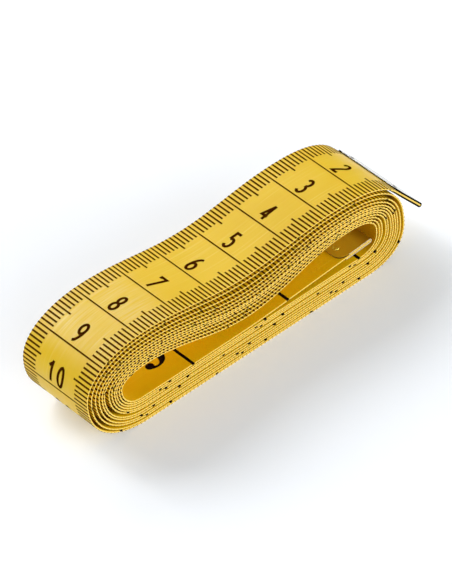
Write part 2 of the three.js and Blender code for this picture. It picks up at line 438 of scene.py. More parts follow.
@dataclass(frozen=True)
class TarnishedSteel(PlatedSteel):
    """Plating that goes brown towards the closed end of the sheet as a painted shade, between two places in
    millimetres along the roll.
    """

    brown: Colour = (0.58, 0.49, 0.050, 1.0)
    browned: Pair = (28.0, 31.0)

    def colour(self, shader: Shader, dullness: Field) -> bpy.types.NodeSocket:
        """The plating's colour, from bright to dull, and then to the brown of the painted shade along the
        roll.
        """
        x, _, _ = shader.object_place()
        return shader.mix(x.step(*self.browned), super().colour(shader, dullness), self.brown)


@dataclass(frozen=True)
class RawSteel(Finish):
    """The raw cut edge of a sheet, with so many shear marks to a millimetre; each edge's colours also carry
    painted light.
    """

    light: Colour = (0.012, 0.009, 0.007, 1.0)
    dark: Colour = (0.003, 0.002, 0.002, 1.0)
    metallic: float = 0.0
    marks: float = 5.0
    mark_edges: Pair = (0.4, 0.8)
    roughness: float = 0.35
    gloss: float = 0.0

    def dress(self, shader: Shader) -> None:
        """Shear marks run across the edge."""
        shear = shader.noise(*(part * self.marks for part in shader.object_place()), 3.0)
        shader.surface({
            "Base Color": shader.mix(shear.step(*self.mark_edges), self.dark, self.light),
            "Roughness": self.roughness + 0.2 * shear,
            "Metallic": self.metallic,
            "Specular IOR Level": self.gloss,
        })


@dataclass(frozen=True)
class WhiteFloor(Finish):
    """A plain white table, lit a little from below."""

    name: str = "white_floor"
    white: Colour = (0.89, 0.91, 0.945, 1.0)
    grey: Colour = (0.87, 0.89, 0.925, 1.0)
    glow_colour: Colour = (0.84, 0.93, 1.0, 1.0)
    glow: float = 0.17
    cloud_size: float = 60.0
    roughness: float = 0.75

    def dress(self, shader: Shader) -> None:
        """Faint wide clouds keep the white from being one flat colour."""
        x, y, _ = shader.object_place()
        cloud = shader.noise(x / self.cloud_size, y / self.cloud_size)
        shader.surface({
            "Base Color": shader.mix(cloud, self.white, self.grey),
            "Roughness": self.roughness + 0.1 * cloud,
            "Emission Color": self.glow_colour,
            "Emission Strength": self.glow,
        })


CLOTH = CoatedCloth()
# On the inner face the stretch from 137 to 150 mm from the inner end is painted shade: dark orange-brown
# over the shaded right end of the eye
INCH_CLOTH = CoatedCloth(
    "inner_coated_cloth", yellow=(0.860, 0.535, 0.003, 1.0), deep=(0.800, 0.480, 0.002, 1.0),
    pale=(0.880, 0.600, 0.020, 1.0), worn=(0.440, 0.180, 0.001, 1.0),
    worn_stretch=(137.0, 142.0, 145.0, 149.5), worn_shares=(0.72, 0.15), gloss=0.10)
CLOTH_EDGE = CutCloth()
BROWN_INK = Ink("brown_ink")
TICK_INK = Ink("brown_tick_ink", full=(0.078, 0.024, 0.002, 1.0), thin=(0.150, 0.058, 0.005, 1.0))
BLACK_INK = Ink("black_ink", full=(0.009, 0.004, 0.003, 1.0), thin=(0.026, 0.014, 0.008, 1.0))
PLATING = PlatedSteel("plated_tip")
# The inner tip's plating is yellow as a painted reflection of the yellow tape round it
YELLOW_REFLECTION_PLATING = TarnishedSteel(
    "yellowed_tip", bright=(0.93, 0.86, 0.17, 1.0), dull=(0.82, 0.73, 0.12, 1.0), roughness=0.34)
# Near black on the outer tip's edges: the cut face, darkened to stand in for the shadow line along it as
# well
DARK_EDGE = RawSteel("raw_tip_edge")
# Reddish brown on the inner tip's open edge: a painted reflection of the orange tape inside the eye
BROWN_EDGE = RawSteel("rusted_tip_edge", light=(0.110, 0.052, 0.012, 1.0), dark=(0.050, 0.022, 0.005, 1.0))
# Pale on the inner tip's side edges: a painted highlight on their rounded rims
BRIGHT_EDGE = RawSteel(
    "worn_tip_edge", light=(0.74, 0.64, 0.42, 1.0), dark=(0.60, 0.48, 0.27, 1.0), metallic=0.6)


@dataclass
class Surface:
    """A mesh in the making.

    Attributes:
        points: Places, n by 3.
        groups: Arrays of faces, each array of one corner count, with the material slot of its faces.
        tape_places: Distance along and place across the tape for each point, n by 2.
    """

    points: np.ndarray
    groups: list[tuple[np.ndarray, Slot]]
    tape_places: Optional[np.ndarray] = None

    @classmethod
    def together(cls, surfaces: list["Surface"]) -> "Surface":
        """Joins surfaces: points are stacked, and corner numbers move up by the points before them."""
        starts = np.cumsum([0] + [len(surface.points) for surface in surfaces])
        groups = [(faces + start, slot) for surface, start in zip(surfaces, starts)
                  for faces, slot in surface.groups]
        return cls(np.concatenate([surface.points for surface in surfaces]), groups)

    @classmethod
    def carried(cls, rings: np.ndarray, slots: np.ndarray,
                tape_places: Optional[np.ndarray] = None) -> "Surface":
        """A closed section carried along a path: quads join each ring to the next, and the ends are capped.

        Args:
            rings: Places, rings by section points by 3; the section turns left about the path.
            slots: Slot number of each quad, runs between rings by section sides, or of each section side.
            tape_places: Tape place of each ring point, rings by section points by 2.

        Returns:
            The closed surface.
        """
        count, size = rings.shape[:2]
        here = np.arange(count * size).reshape(count, size)
        beside = np.roll(here, -1, axis=1)
        sides = np.stack([here[:-1], beside[:-1], beside[1:], here[1:]], axis=-1)
        chosen = np.broadcast_to(slots, sides.shape[:2])
        groups = [(sides[chosen == slot.value], slot) for slot in Slot]
        groups.append((np.stack([here[0, ::-1], here[-1]]), Slot.END))
        flat_places = None if tape_places is None else tape_places.reshape(-1, 2)
        return cls(rings.reshape(-1, 3), groups, flat_places)

    @classmethod
    def turned(cls, profile: np.ndarray, steps: int) -> "Surface":
        """A profile of radius and height turned about the height axis, from one pole to the other.

        Args:
            profile: Radius and height of each point, n by 2, where the first and last lie on the axis.
            steps: Sides of each turned ring.

        Returns:
            The closed surface, about the z axis.
        """
        angle = np.linspace(0.0, 2.0 * np.pi, steps, endpoint=False)
        radius, height = profile[1:-1].T
        rings = np.stack([np.outer(radius, np.cos(angle)), np.outer(radius, np.sin(angle)),
                          np.repeat(height[:, None], steps, axis=1)], axis=-1).reshape(-1, 3)
        poles = np.array([[0.0, 0.0, profile[0, 1]], [0.0, 0.0, profile[-1, 1]]])
        here = np.arange(len(radius) * steps).reshape(-1, steps)
        beside = np.roll(here, -1, axis=1)
        quads = np.stack([here[:-1], here[1:], beside[1:], beside[:-1]], axis=-1).reshape(-1, 4)
        top, bottom = (np.full(steps, len(rings) + pole) for pole in range(2))
        fans = np.concatenate([np.stack([top, here[0], beside[0]], axis=-1),
                               np.stack([here[-1], bottom, beside[-1]], axis=-1)])
        return cls(np.concatenate([rings, poles]), [(quads, Slot.FACE), (fans, Slot.FACE)])

    def piece(self, name: str, finishes: list[Finish], crease: float = 0.0) -> bpy.types.Object:
        """Makes the surface an object at the origin.

        Args:
            name: The piece's name.
            finishes: A finish for each material slot.
            crease: Angle in degrees from which an edge is sharp, or 0 for flat faces.

        Returns:
            The new object.
        """
        corners = np.concatenate([faces.ravel() for faces, _ in self.groups]).astype(np.int32)
        sizes = np.concatenate([np.full(len(faces), faces.shape[1]) for faces, _ in self.groups])
        slots = np.concatenate([np.full(len(faces), slot.value) for faces, slot in self.groups])
        mesh = bpy.data.meshes.new(name)
        mesh.vertices.add(len(self.points))
        mesh.loops.add(len(corners))
        mesh.polygons.add(len(sizes))
        mesh.vertices.foreach_set("co", self.points.astype(np.float32).ravel())
        mesh.loops.foreach_set("vertex_index", corners)
        mesh.polygons.foreach_set("loop_start", (np.cumsum(sizes) - sizes).astype(np.int32))
        mesh.polygons.foreach_set("material_index", slots.astype(np.int32))
        mesh.polygons.foreach_set("use_smooth", np.full(len(sizes), crease > 0.0))
        mesh.update(calc_edges=True)
        if self.tape_places is not None:
            layer = mesh.uv_layers.new(name=TAPE_UV)
            layer.data.foreach_set("uv", self.tape_places[corners].astype(np.float32).ravel())
        for finish in finishes:
            mesh.materials.append(finish.material())
        mesh.validate()
        if crease > 0.0:
            mesh.set_sharp_from_angle(angle=np.radians(crease))
        obj = bpy.data.objects.new(name, mesh)
        bpy.context.scene.collection.objects.link(obj)
        LOG.info("%s: %d points, %d faces", name, len(self.points), len(sizes))
        return obj


@dataclass(frozen=True)
class Section:
    """A flat strip's cross-section: a thin rectangle with rounded edges."""

    width: float
    thickness: float
    edge_radius: float
    corner_steps: int = 4
    margin: float = 0.25 * MM
    rim_share: float = 0.7

    def outline(self) -> np.ndarray:
        """Points across and out, anticlockwise from below the far edge.

        Four quarter circles stand at the corners, and each face has a point near each edge and one in the
        middle, so that shading stays flat.
        """
        half = np.array([self.width, self.thickness]) / 2.0 - self.edge_radius
        sweep = np.radians(np.linspace(0.0, 90.0, self.corner_steps))
        inset = half[0] - self.margin
        corners = []
        for start, (side, level) in zip((-90, 0, 90, 180), ((1, -1), (1, 1), (-1, 1), (-1, -1))):
            angle = np.radians(start) + sweep
            corners.append(np.stack([side * half[0] + self.edge_radius * np.cos(angle),
                                     level * half[1] + self.edge_radius * np.sin(angle)], axis=-1))
        face = np.array([[inset, 0.0], [0.0, 0.0], [-inset, 0.0]])
        up = np.array([0.0, self.thickness / 2.0])
        return np.concatenate([corners[0], corners[1], face + up, corners[2], corners[3], -face - up])

    def slots(self) -> np.ndarray:
        """Slot number of the side from each outline point to the next: a face, or a cut edge near a rim."""
        outline = self.outline()
        across, out = (outline + np.roll(outline, -1, axis=0)).T / 2.0
        face = np.where(out > 0.0, Slot.FACE.value, Slot.BACK.value)
        rim = self.width / 2.0 - self.rim_share * self.edge_radius
        return np.where(np.abs(across) > rim, Slot.CUT_EDGE.value, face)


@dataclass(frozen=True)
class Stack:
    """The wound layers at one place of the roll.

    Attributes:
        depth: Depth of all the layers together, from the eye to the outside.
        gaps: Relative width of each gap between two layers, from the eye outwards.
    """

    depth: float
    gaps: tuple[float, ...]

    def middles(self, thickness: float) -> np.ndarray:
        """Middle of each layer, from the eye out: the gaps share what the layers leave of the depth."""
        gaps = np.array((0.0, *self.gaps))
        spare = self.depth - len(gaps) * thickness
        return (thickness * (np.arange(len(gaps)) + 0.5) + spare * np.cumsum(gaps) / gaps.sum())[:, None]


# Relative gaps between the layers, from the eye outwards
FLOOR_GAPS = (0.18, 0.22, 0.20, 0.38, 0.18, 0.32, 0.30, 0.25, 0.20, 0.32, 0.18)
LEFT_GAPS = (0.32, 0.34, 0.30, 0.28, 0.40, 0.90, 0.20, 0.55, 0.55, 0.80, 0.70)
LEFT_HUMP_GAPS = (0.26, 0.38, 0.42, 0.15, 0.36, 0.42, 0.36, 0.75, 0.75, 0.95, 0.72)
WAIST_GAPS = (0.60, 0.60, 0.50, 0.10, 0.15, 0.37, 0.55, 0.52, 0.90, 1.03, 0.90)
RIGHT_HUMP_GAPS = (0.12, 0.12, 0.15, 0.40, 0.10, 0.12, 0.30, 0.38, 0.68, 0.76, 0.76)
RIGHT_GAPS = (0.50, 0.51, 0.68, 0.23, 0.42, 0.34, 0.28, 0.38, 0.38, 0.66, 0.60)


@dataclass(frozen=True)
class Winding:
    """The roll's centre line: nested layers with two round ends, a flat floor and a sagging top.

    A pair of sizes is the innermost layer's and the outermost layer's, and the layers between share the
    change evenly. Angles are in degrees.
    """

    middle: float
    thickness: float = 0.32 * MM
    floor: Stack = Stack(6.66 * MM, FLOOR_GAPS)
    left_end: Stack = Stack(9.08 * MM, LEFT_GAPS)
    left_hump: Stack = Stack(8.72 * MM, LEFT_HUMP_GAPS)
    waist: Stack = Stack(10.72 * MM, WAIST_GAPS)
    right_hump: Stack = Stack(7.84 * MM, RIGHT_HUMP_GAPS)
    right_end: Stack = Stack(8.64 * MM, RIGHT_GAPS)
    eye_length: float = 67.7 * MM
    eye_left_height: float = 7.6 * MM
    eye_waist_height: float = 2.9 * MM
    eye_right_height: float = 7.8 * MM
    left_nose: Pair = (4.6 * MM, 5.92 * MM)
    right_nose: Pair = (3.8 * MM, 2.59 * MM)
    left_lower_reach: Pair = (4.8 * MM, 14.7 * MM)
    left_upper_reach: Pair = (6.8 * MM, 16.7 * MM)
    right_upper_reach: Pair = (7.9 * MM, 18.9 * MM)
    right_lower_reach: Pair = (5.9 * MM, 11.95 * MM)
    left_fullness: float = 2.2
    right_fullness: float = 2.5
    outer_leave_angle: float = 34.5
    outer_end_slope: float = -51.5
    outer_end_length: float = 10.05 * MM
    inner_end_slope: float = 3.9
    inner_tip_clearance: float = 1.3 * MM
    inner_ease: float = 7.0 * MM
    curve_steps: int = 160

    def corner(self, centre: np.ndarray, nose: np.ndarray, reach: np.ndarray, height: np.ndarray,
               fullness: float, start: float, stop: Union[float, np.ndarray]) -> np.ndarray:
        """One rounded corner of every layer.

        The cosine and sine of an even run of angles are divided by their p-norm, p being the fullness, and
        multiplied by the reach along x and the height along z.

        Args:
            centre: The corner's centre along x, layers by 1.
            nose: The corner's centre along z, layers by 1.
            reach: Its length along x, layers by 1.
            height: Its height along z, layers by 1.
            fullness: The power p, where 2 is an ellipse and more is squarer.
            start: First angle, in degrees.
            stop: Last angle, in degrees, of all the layers or of each, layers by 1.

        Returns:
            Places along x and z, layers by steps by 2.
        """
        angle = np.radians(start + (stop - start) * np.linspace(0.0, 1.0, self.curve_steps))
        across, up = np.cos(angle), np.sin(angle)
        push = (np.abs(across) ** fullness + np.abs(up) ** fullness) ** (-1.0 / fullness)
        return np.stack([centre + reach * push * across, nose + height * push * up], axis=-1)

    def line(self) -> tuple[np.ndarray, float, float]:
        """The centre line from the inner end to the outer end.

        Each layer runs up the left end, over the top, whose height is a half cosine between the two humps
        less a squared sine for the sag, and down the right end to the next layer's floor.

        Returns:
            Places along x and z, n by 2, then the lengths of the inner and the outer free ends.
        """
        eye_floor, half_eye = self.floor.depth, self.eye_length / 2.0
        floor = eye_floor - self.floor.middles(self.thickness)
        left = -half_eye - self.left_end.middles(self.thickness)
        right = half_eye + self.right_end.middles(self.thickness)
        left_top = eye_floor + self.eye_left_height + self.left_hump.middles(self.thickness)
        waist = eye_floor + self.eye_waist_height + self.waist.middles(self.thickness)
        right_top = eye_floor + self.eye_right_height + self.right_hump.middles(self.thickness)
        left_nose, right_nose, left_lower, left_upper, right_upper, right_lower = (
            np.linspace(*pair, len(floor))[:, None]
            for pair in (self.left_nose, self.right_nose, self.left_lower_reach, self.left_upper_reach,
                         self.right_upper_reach, self.right_lower_reach))
        left_nose, right_nose = eye_floor + left_nose, eye_floor + right_nose

        leave = np.zeros_like(floor)
        leave[-1] = self.outer_leave_angle
        share = np.linspace(0.0, 1.0, 2 * self.curve_steps)
        sag = (left_top + right_top) / 2.0 - waist
        top_start, top_stop = left + left_upper, right - right_upper
        top = np.stack([top_start + (top_stop - top_start) * share,
                        left_top + (right_top - left_top) * (1.0 - np.cos(np.pi * share)) / 2.0
                        - sag * np.sin(np.pi * share) ** 2], axis=-1)
        next_floor = np.concatenate([floor[1:], floor[-1:]])
        lower_left = self.corner(left + left_lower, left_nose, left_lower, left_nose - floor,
                                 self.left_fullness, -90.0, -180.0)
        upper_left = self.corner(left + left_upper, left_nose, left_upper, left_top - left_nose,
                                 self.left_fullness, 180.0, 90.0)
        upper_right = self.corner(right - right_upper, right_nose, right_upper, right_top - right_nose,
                                  self.right_fullness, 90.0, leave)
        lower_right = self.corner(right - right_lower, right_nose, right_lower, right_nose - next_floor,
                                  self.right_fullness, 0.0, -90.0)
        turns = np.concatenate([lower_left, upper_left[:, 1:], top[:, 1:], upper_right[:, 1:],
                                lower_right[:, 1:]], axis=1)
        coil = turns.reshape(-1, 2)[:-(self.curve_steps - 1)]

        slope = np.tan(np.radians(self.inner_end_slope))
        reach = self.eye_length / 2.0 - self.inner_tip_clearance
        along = np.linspace(reach, -self.inner_ease, self.curve_steps)
        eased = (along + self.inner_ease) ** 2 / (4.0 * self.inner_ease)
        rise = slope * np.where(along > self.inner_ease, along, eased)
        inner = np.stack([along, floor[0] + rise], axis=-1)
        inner_length = reach / np.cos(np.radians(self.inner_end_slope))
        fall = np.radians(self.outer_end_slope)
        outer = coil[-1] + self.outer_end_length * np.array([[np.cos(fall), np.sin(fall)]])
        line = np.concatenate([inner, coil, outer])
        line[:, 0] += self.middle
        return line, inner_length, self.outer_end_length


@dataclass
class EndFrame:
    """Where a free end lies: its hinge, and its directions along the end and out of its upper face."""

    hinge: np.ndarray
    along: np.ndarray
    length: float

    @property
    def up(self) -> np.ndarray:
        """Out of the end's upper face: the end's direction crossed with the way across the tape."""
        return np.cross(self.along, ACROSS)

    def place(self, along: np.ndarray, across: np.ndarray, up: np.ndarray) -> np.ndarray:
        """Places at distances from the hinge along the end, across the tape and above its middle."""
        along, across, up = np.broadcast_arrays(along, across, up)
        return (self.hinge + along[..., None] * self.along + across[..., None] * ACROSS
                + up[..., None] * self.up)


@dataclass
class Tape:
    """The whole ribbon, as a table with one row for each ring of its mesh.

    Distances run along the tape from its inner end. The centimetre scale's zero is the outer end. A wave of
    the wander has a share of its size, a length for each radian, and a start in radians.
    """

    winding: Winding
    width: float
    edge_radius: float = 0.09 * MM
    coil_step: float = 1.0 * MM
    coil_turn: float = 3.5
    inner_step: float = 0.5 * MM
    outer_step: float = 0.12 * MM
    sample: float = 0.05 * MM
    tip_inset: float = 0.36 * MM
    wander_size: float = 0.13 * MM
    wander_fade: float = 60.0 * MM
    wander_waves: tuple[Triple, ...] = ((1.0, 31.0 * MM, 0.0), (0.8, 57.0 * MM, 1.0), (0.7, 19.0 * MM, 2.0))
    distance: np.ndarray = field(init=False)
    centre: np.ndarray = field(init=False)
    outward: np.ndarray = field(init=False)
    inner_hinge: float = field(init=False)
    outer_hinge: float = field(init=False)

    def __post_init__(self) -> None:
        """Fills the table: rings stand closer where the line turns faster."""
        line, inner_length, outer_length = self.winding.line()
        moved = np.concatenate([[0.0], np.cumsum(np.linalg.norm(np.diff(line, axis=0), axis=1))])
        even = np.linspace(0.0, moved[-1], int(moved[-1] / self.sample))
        dense = np.stack([np.interp(even, moved, column) for column in line.T], axis=-1)
        heading = np.unwrap(np.arctan2(*np.gradient(dense, even, axis=0).T[::-1]))
        turning = np.abs(np.gradient(heading, even))
        self.inner_hinge = inner_length
        self.outer_hinge = moved[-1] - outer_length
        stops = (0.0, self.inner_hinge, self.outer_hinge, moved[-1])
        runs = []
        for start, stop, step in zip(stops, stops[1:], (self.inner_step, self.coil_step, self.outer_step)):
            inside = np.linspace(start, stop, int((stop - start) / self.sample) + 2)
            rate = 1.0 / step + np.interp(inside, even, turning) / np.radians(self.coil_turn)
            count = np.concatenate([[0.0], np.cumsum((rate[1:] + rate[:-1]) / 2.0 * np.diff(inside))])
            runs.append(np.interp(np.linspace(0.0, count[-1], int(np.ceil(count[-1])) + 1), count, inside))
        self.distance = np.concatenate([runs[0], runs[1][1:], runs[2][1:]])
        self.centre = np.stack([np.interp(self.distance, even, column) for column in dense.T], axis=-1)
        angle = np.interp(self.distance, even, heading)
        self.outward = np.stack([-np.sin(angle), np.cos(angle)], axis=-1)

    @property
    def length(self) -> float:
        """The tape's whole length."""
        return float(self.distance[-1])

    @property
    def thickness(self) -> float:
        """The tape's thickness."""
        return self.winding.thickness

    @property
    def section(self) -> Section:
        """The tape's cross-section."""
        return Section(self.width, self.thickness, self.edge_radius)

    def wander(self, distance: np.ndarray) -> np.ndarray:
        """Sideways drift of the wound layers: long sine waves, which fade out at both free ends."""
        waves = sum(share * np.sin(distance / length + start) for share, length, start in self.wander_waves)
        whole = sum(share for share, _, _ in self.wander_waves)
        fade = np.clip((distance - self.inner_hinge) / self.wander_fade, 0.0, 1.0)
        fade = fade * np.clip((self.outer_hinge - distance) / self.wander_fade, 0.0, 1.0)
        return self.wander_size * waves / whole * fade

    def place(self, distance: np.ndarray, across: np.ndarray, out: np.ndarray) -> np.ndarray:
        """Places on and about the ribbon.

        The centre line and its outward normal are read off the table in straight runs between rings, so ink
        lies exactly on the mesh.

        Args:
            distance: Distance along the tape from its inner end.
            across: Place across the tape, 0 in the middle.
            out: Height above the middle of its thickness, towards the outside of the roll.

        Returns:
            The places, with a last axis of 3.
        """
        distance, across, out = np.broadcast_arrays(distance, across, out)
        x, z, out_x, out_z = (np.interp(distance, self.distance, column)
                              for column in (*self.centre.T, *self.outward.T))
        return np.stack([x + out * out_x, across + self.wander(distance), z + out * out_z], axis=-1)

    def ribbon(self, start: float, stop: float) -> Surface:
        """The tape's section carried along the table from one distance to another."""
        inside = self.distance[(self.distance > start + HAIR) & (self.distance < stop - HAIR)]
        rings = np.concatenate([[start], inside, [stop]])[:, None]
        outline = self.section.outline()
        across, out = outline[None, :, 0], outline[None, :, 1]
        places = np.stack(np.broadcast_arrays(rings, across), axis=-1)
        return Surface.carried(self.place(rings, across, out), self.section.slots(), places)

    def end_frame(self, end: End) -> EndFrame:
        """The frame of a free end."""
        outer = end is End.OUTER
        hinge, far = (self.outer_hinge, self.length) if outer else (self.inner_hinge, 0.0)
        tip_x, tip_z = (np.interp(far, self.distance, column) for column in self.centre.T)
        slope = np.radians(self.winding.outer_end_slope if outer else self.winding.inner_end_slope)
        along = np.array([np.cos(slope), 0.0, np.sin(slope)])
        length = abs(far - hinge)
        return EndFrame(np.array([tip_x, 0.0, tip_z]) - length * along, along, length)


# Least sum of two meeting normals that a mitre divides by, and the longest mitre in half widths
MITRE_LEAST = 0.35
MITRE_MOST = 1.7


@dataclass(frozen=True)
class Stamp:
    """A printed shape on the flat: points to the right, up the text and above the cloth, and its faces."""

    points: np.ndarray
    groups: list[np.ndarray]

    @classmethod
    def outline(cls, outline: np.ndarray, low: float, high: float) -> "Stamp":
        """A flat shape with straight walls: the outline, anticlockwise, at two heights."""
        count = len(outline)
        levels = [np.column_stack([outline, np.full(count, level)]) for level in (low, high)]
        here = np.arange(count)
        beside = np.roll(here, -1)
        walls = np.stack([here, beside, beside + count, here + count], axis=-1)
        return cls(np.concatenate(levels), [walls, np.stack([here[::-1], here + count])])

    @classmethod
    def stroke(cls, path: np.ndarray, half_width: np.ndarray, closed: bool,
               low: float, high: float) -> "Stamp":
        """A pen stroke: a path given a width and a thickness.

        At each point the sides stand off along the sum of the two meeting runs' normals, lengthened so that
        the width holds round the bend, up to a limit.

        Args:
            path: Points to the right and up, n by 2.
            half_width: Half the stroke's width at each point.
            closed: True where the path runs back to its start.
            low: Height of the underside.
            high: Height of the upper side.

        Returns:
            The stroke's stamp.
        """
        ahead = np.roll(path, -1, axis=0) - path
        ahead = ahead / np.maximum(np.linalg.norm(ahead, axis=1, keepdims=True), TINY)
        before = np.roll(ahead, 1, axis=0)
        if not closed:
            ahead[-1], before[0] = ahead[-2], ahead[0]
        normals = [np.column_stack([-run[:, 1], run[:, 0]]) for run in (before, ahead)]
        together = 1.0 + np.sum(normals[0] * normals[1], axis=1, keepdims=True)
        mitre = (normals[0] + normals[1]) / np.maximum(together, MITRE_LEAST)
        mitre /= np.maximum(np.linalg.norm(mitre, axis=1, keepdims=True) / MITRE_MOST, 1.0)
        left, right = path + mitre * half_width[:, None], path - mitre * half_width[:, None]
        ring = [np.column_stack([side, np.full(len(path), level)])
                for side, level in ((left, low), (left, high), (right, high), (right, low))]
        here = np.arange(4 * len(path)).reshape(-1, 4)
        beside = np.roll(here, -1, axis=1)
        following = np.roll(here, -1, axis=0), np.roll(beside, -1, axis=0)
        walls = np.stack([here, beside, following[1], following[0]], axis=-1)
        if not closed:
            walls = np.concatenate([walls[:-1].reshape(-1, 4), here[:1, ::-1], here[-1:]])
        return cls(np.stack(ring, axis=1).reshape(-1, 3), [walls.reshape(-1, 4)])

    @classmethod
    def together(cls, stamps: list["Stamp"]) -> "Stamp":
        """Joins stamps into one."""
        starts = np.cumsum([0] + [len(stamp.points) for stamp in stamps])
        groups = [faces + start for stamp, start in zip(stamps, starts) for faces in stamp.groups]
        return cls(np.concatenate([stamp.points for stamp in stamps]), groups)

    @staticmethod
    def refined(path: np.ndarray, closed: bool, longest: float) -> np.ndarray:
        """The same path with points added evenly, so that no run is longer than a limit."""
        whole = np.concatenate([path, path[:1]]) if closed else path
        pieces = np.ceil(np.linalg.norm(np.diff(whole, axis=0), axis=1) / longest).astype(int)
        ends = np.concatenate([[0], np.cumsum(pieces)])
        rows = np.arange(ends[-1] + (0 if closed else 1))
        return np.stack([np.interp(rows, ends, column) for column in whole.T], axis=-1)

    def shifted(self, right: float) -> "Stamp":
        """The same stamp, moved to the right."""
        return Stamp(self.points + np.array([right, 0.0, 0.0]), self.groups)


def arc(centre: Pair, radii: Pair, start: float, stop: float, turn: float) -> np.ndarray:
    """Points on an ellipse from one angle to another, each at most a turn from the last, in degrees."""
    angle = np.radians(np.linspace(start, stop, int(np.ceil(abs(stop - start) / turn)) + 1))
    return np.column_stack([centre[0] + radii[0] * np.cos(angle), centre[1] + radii[1] * np.sin(angle)])


def loop(centre: Pair, radii: Pair, turn: float) -> np.ndarray:
    """Points once round an ellipse, without the last."""
    return arc(centre, radii, 90.0, 450.0, turn)[:-1]


@dataclass(frozen=True)
class PlainNumerals:
    """Narrow numerals of one stroke width, as on the centimetre scale.

    Each is drawn in a cell one wide about its middle and one high, then scaled.
    """

    width: float = 1.50 * MM
    height: float = 4.28 * MM
    stroke: float = 0.65 * MM
    spacing: float = 3.1 * MM
    low: float = -0.020 * MM
    high: float = 0.020 * MM
    layer: float = 0.0015 * MM
    longest: float = 0.5 * MM
    turn: float = 26.0

    def runs(self) -> dict[str, list[tuple[np.ndarray, bool]]]:
        """The pen's runs of each numeral, each with whether it is closed."""
        turn = self.turn
        six = [(loop((0.0, 0.28), (0.5, 0.28), turn), True),
               (arc((0.38, 0.28), (0.88, 0.72), 180, 92, turn), False)]
        bend = arc((0.0, 0.73), (0.5, 0.27), 165, -25, turn)
        return {
            "0": [(loop((0.0, 0.5), (0.5, 0.5), turn), True)],
            "1": [(np.array([(-0.38, 0.76), (0.12, 0.94)]), False),
                  (np.array([(0.18, 1.06), (0.18, 0.0)]), False)],
            "2": [(np.concatenate([bend, [(-0.5, 0.0), (0.5, 0.0)]]), False)],
            "3": [(arc((-0.02, 0.76), (0.47, 0.24), 150, -90, turn), False),
                  (arc((-0.02, 0.26), (0.52, 0.26), 90, -150, turn), False)],
            "4": [(np.array([(0.18, 1.0), (-0.5, 0.26), (0.5, 0.26)]), False),
                  (np.array([(0.18, 1.0), (0.18, 0.0)]), False)],
            "5": [(np.array([(0.42, 1.0), (-0.36, 1.0), (-0.42, 0.54)]), False),
                  (arc((0.0, 0.3), (0.5, 0.3), 135, -150, turn), False)],
            "6": six,
            "7": [(np.array([(-0.5, 0.88), (-0.5, 1.0), (0.5, 1.0), (-0.38, 0.0)]), False)],
            "8": [(loop((0.0, 0.755), (0.42, 0.245), turn), True),
                  (loop((0.0, 0.255), (0.5, 0.255), turn), True)],
            "9": [(np.array([0.0, 1.0]) + path * np.array([-1.0, -1.0]), closed) for path, closed in six],
        }

    def half_widths(self, path: np.ndarray, closed: bool) -> np.ndarray:
        """Half the pen's width at each point of a run, the same all along it."""
        return np.full(len(path), self.stroke / 2.0)

    def ball_ends(self, numeral: str) -> list[Stamp]:
        """The balls at a numeral's ends, of which these numerals have none."""
        return []

    def stamps(self) -> dict[str, Stamp]:
        """A stamp for each numeral; each further run of the pen lies a hair above the one before."""
        made = {}
        for numeral, runs in self.runs().items():
            strokes = []
            for turn, (path, closed) in enumerate(runs):
                sized = Stamp.refined(path * np.array([self.width, self.height]), closed, self.longest)
                width = self.half_widths(sized, closed)
                strokes.append(Stamp.stroke(sized, width, closed, self.low, self.high + turn * self.layer))
            made[numeral] = Stamp.together(strokes + self.ball_ends(numeral))
        return made


# Most runs of the pen in one numeral, and the centres of each numeral's ball ends in its cell
MOST_RUNS = 2
BALL_CENTRES = {"2": [(-0.33, 0.76)], "3": [(-0.34, 0.88), (-0.43, 0.10)], "5": [(-0.36, 0.15)],
                "6": [(0.34, 0.82)], "9": [(-0.34, 0.18)]}


@dataclass(frozen=True)
class BookNumerals(PlainNumerals):
    """Bold numerals with thick stems, hairlines and ball ends, as on the inch scale."""

    width: float = 3.9 * MM
    height: float = 10.6 * MM
    stroke: float = 1.7 * MM
    hairline: float = 0.5 * MM
    ball: float = 0.95 * MM
    spacing: float = 6.2 * MM
    longest: float = 0.7 * MM
    turn: float = 10.0

    def runs(self) -> dict[str, list[tuple[np.ndarray, bool]]]:
        """The plain numerals' runs, with a broader 3 whose ends curl round to its balls."""
        three = [(arc((-0.04, 0.76), (0.47, 0.24), 140, -90, self.turn), False),
                 (arc((-0.06, 0.27), (0.56, 0.27), 90, -135, self.turn), False)]
        return {**super().runs(), "3": three}

    def half_widths(self, path: np.ndarray, closed: bool) -> np.ndarray:
        """Half the pen's width, from a hairline across to the full stroke upright, by the rise's square."""
        run = np.gradient(path, axis=0)
        if closed:
            run = np.roll(path, -1, axis=0) - np.roll(path, 1, axis=0)
        upright = np.abs(run[:, 1]) / np.maximum(np.linalg.norm(run, axis=1), TINY)
        return (self.hairline + (self.stroke - self.hairline) * upright ** 2) / 2.0

    def ball_ends(self, numeral: str) -> list[Stamp]:
        """The balls at a numeral's ends, each a hair above the one before and above the pen's runs."""
        made = []
        for turn, (x, y) in enumerate(BALL_CENTRES.get(numeral, ()), start=MOST_RUNS):
            disc = loop((x * self.width, y * self.height), (self.ball, self.ball), self.turn)
            made.append(Stamp.outline(disc, self.low, self.high + turn * self.layer))
        return made


